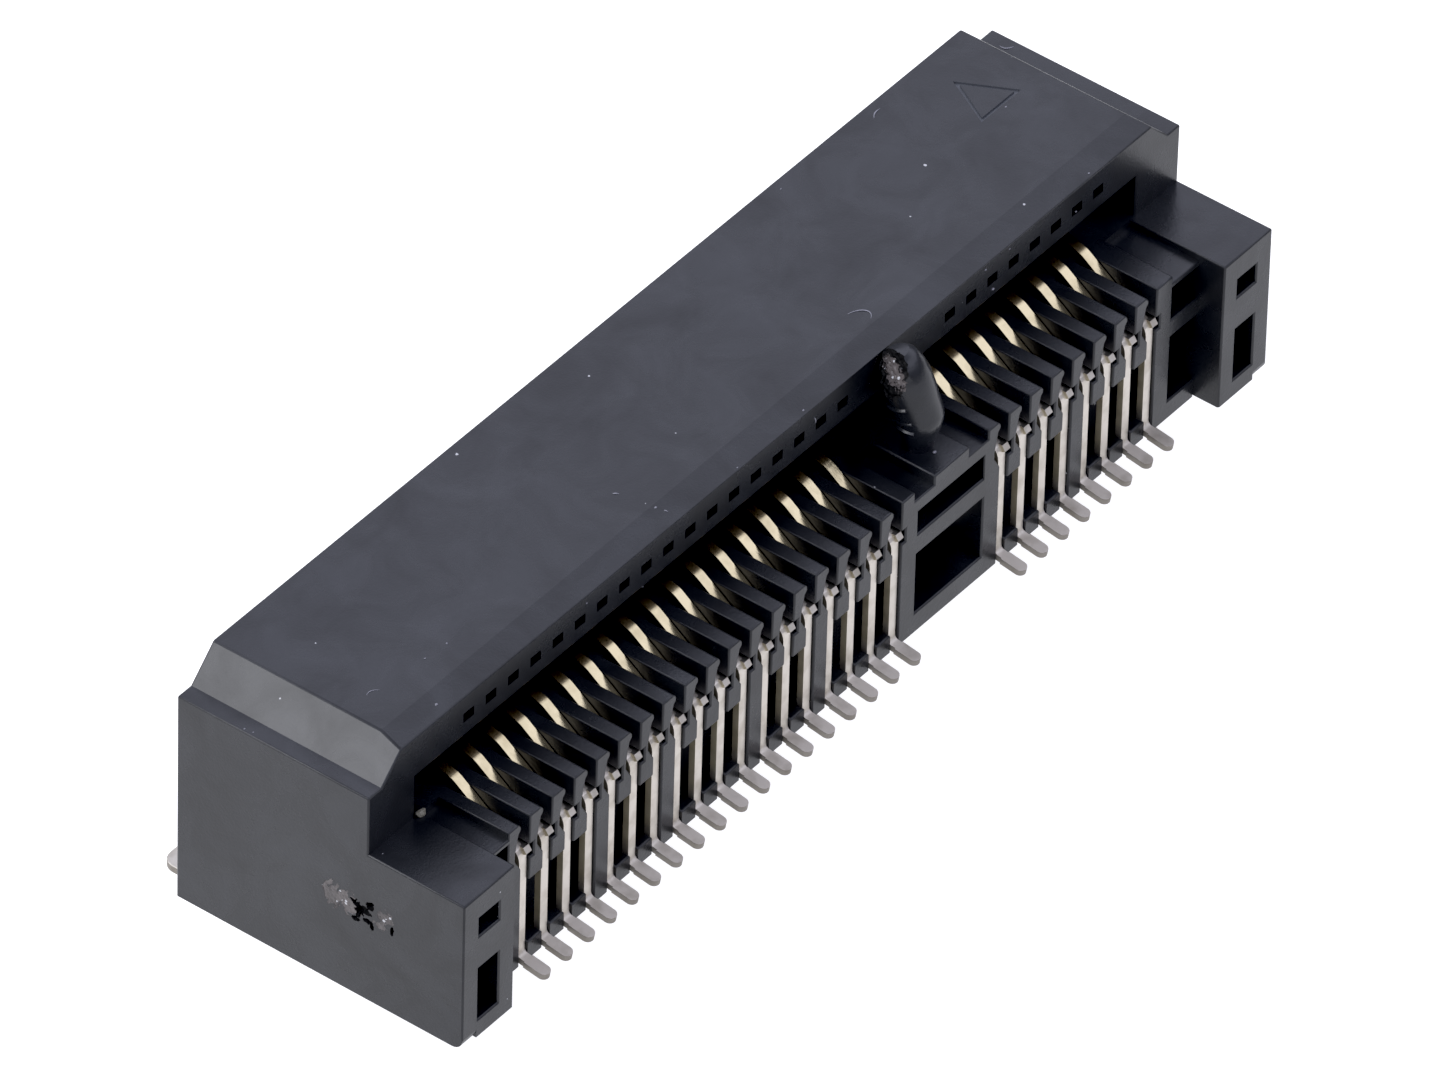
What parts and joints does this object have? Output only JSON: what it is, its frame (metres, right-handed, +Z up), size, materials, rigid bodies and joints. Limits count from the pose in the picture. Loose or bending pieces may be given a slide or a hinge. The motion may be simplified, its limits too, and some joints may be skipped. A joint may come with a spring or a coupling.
{
  "type": "card edge connector",
  "caption": "Low right-angle card-edge socket: black moulded housing with a keyed slot at the front, a comb of bent contacts at the rear, solder feet, hold-down nails and locating pegs.",
  "frame": {"origin": "on the board plane, at mid length of the housing, level with the centres of the two locating pegs", "axes": "+X along the housing towards contact 26 (the contact 1 end, with the triangle, is at -X), +Y from the card slot towards the rear tails, +Z up from the board"},
  "size_m": [0.0298, 0.009, 0.0082],
  "materials": {
    "housing_plastic": "satin glass-filled thermoplastic, fine moulded grain",
    "contact_metal": "spring copper alloy, gold plated at the card, matt tin plated at the tails and feet",
    "nail_metal": "matt tin plated sheet"
  },
  "bodies": {
    "root": {"housing": "housing_plastic", "fitting_nail_left": "nail_metal", "fitting_nail_right": "nail_metal", "upper_contact_01": "contact_metal", "upper_contact_02": "contact_metal", "upper_contact_03": "contact_metal", "upper_contact_04": "contact_metal", "upper_contact_05": "contact_metal", "upper_contact_06": "contact_metal", "upper_contact_07": "contact_metal", "upper_contact_08": "contact_metal", "upper_contact_09": "contact_metal", "upper_contact_10": "contact_metal", "upper_contact_11": "contact_metal", "upper_contact_12": "contact_metal", "upper_contact_13": "contact_metal", "upper_contact_14": "contact_metal", "upper_contact_15": "contact_metal", "upper_contact_16": "contact_metal", "upper_contact_17": "contact_metal", "upper_contact_18": "contact_metal", "upper_contact_19": "contact_metal", "upper_contact_20": "contact_metal", "upper_contact_21": "contact_metal", "upper_contact_22": "contact_metal", "upper_contact_23": "contact_metal", "upper_contact_24": "contact_metal", "upper_contact_25": "contact_metal", "upper_contact_26": "contact_metal", "lower_contact_01": "contact_metal", "lower_contact_02": "contact_metal", "lower_contact_03": "contact_metal", "lower_contact_04": "contact_metal", "lower_contact_05": "contact_metal", "lower_contact_06": "contact_metal", "lower_contact_07": "contact_metal", "lower_contact_08": "contact_metal", "lower_contact_09": "contact_metal", "lower_contact_10": "contact_metal", "lower_contact_11": "contact_metal", "lower_contact_12": "contact_metal", "lower_contact_13": "contact_metal", "lower_contact_14": "contact_metal", "lower_contact_15": "contact_metal", "lower_contact_16": "contact_metal", "lower_contact_17": "contact_metal", "lower_contact_18": "contact_metal", "lower_contact_19": "contact_metal", "lower_contact_20": "contact_metal", "lower_contact_21": "contact_metal", "lower_contact_22": "contact_metal", "lower_contact_23": "contact_metal", "lower_contact_24": "contact_metal", "lower_contact_25": "contact_metal", "lower_contact_26": "contact_metal"}
  },
  "joints": []
}
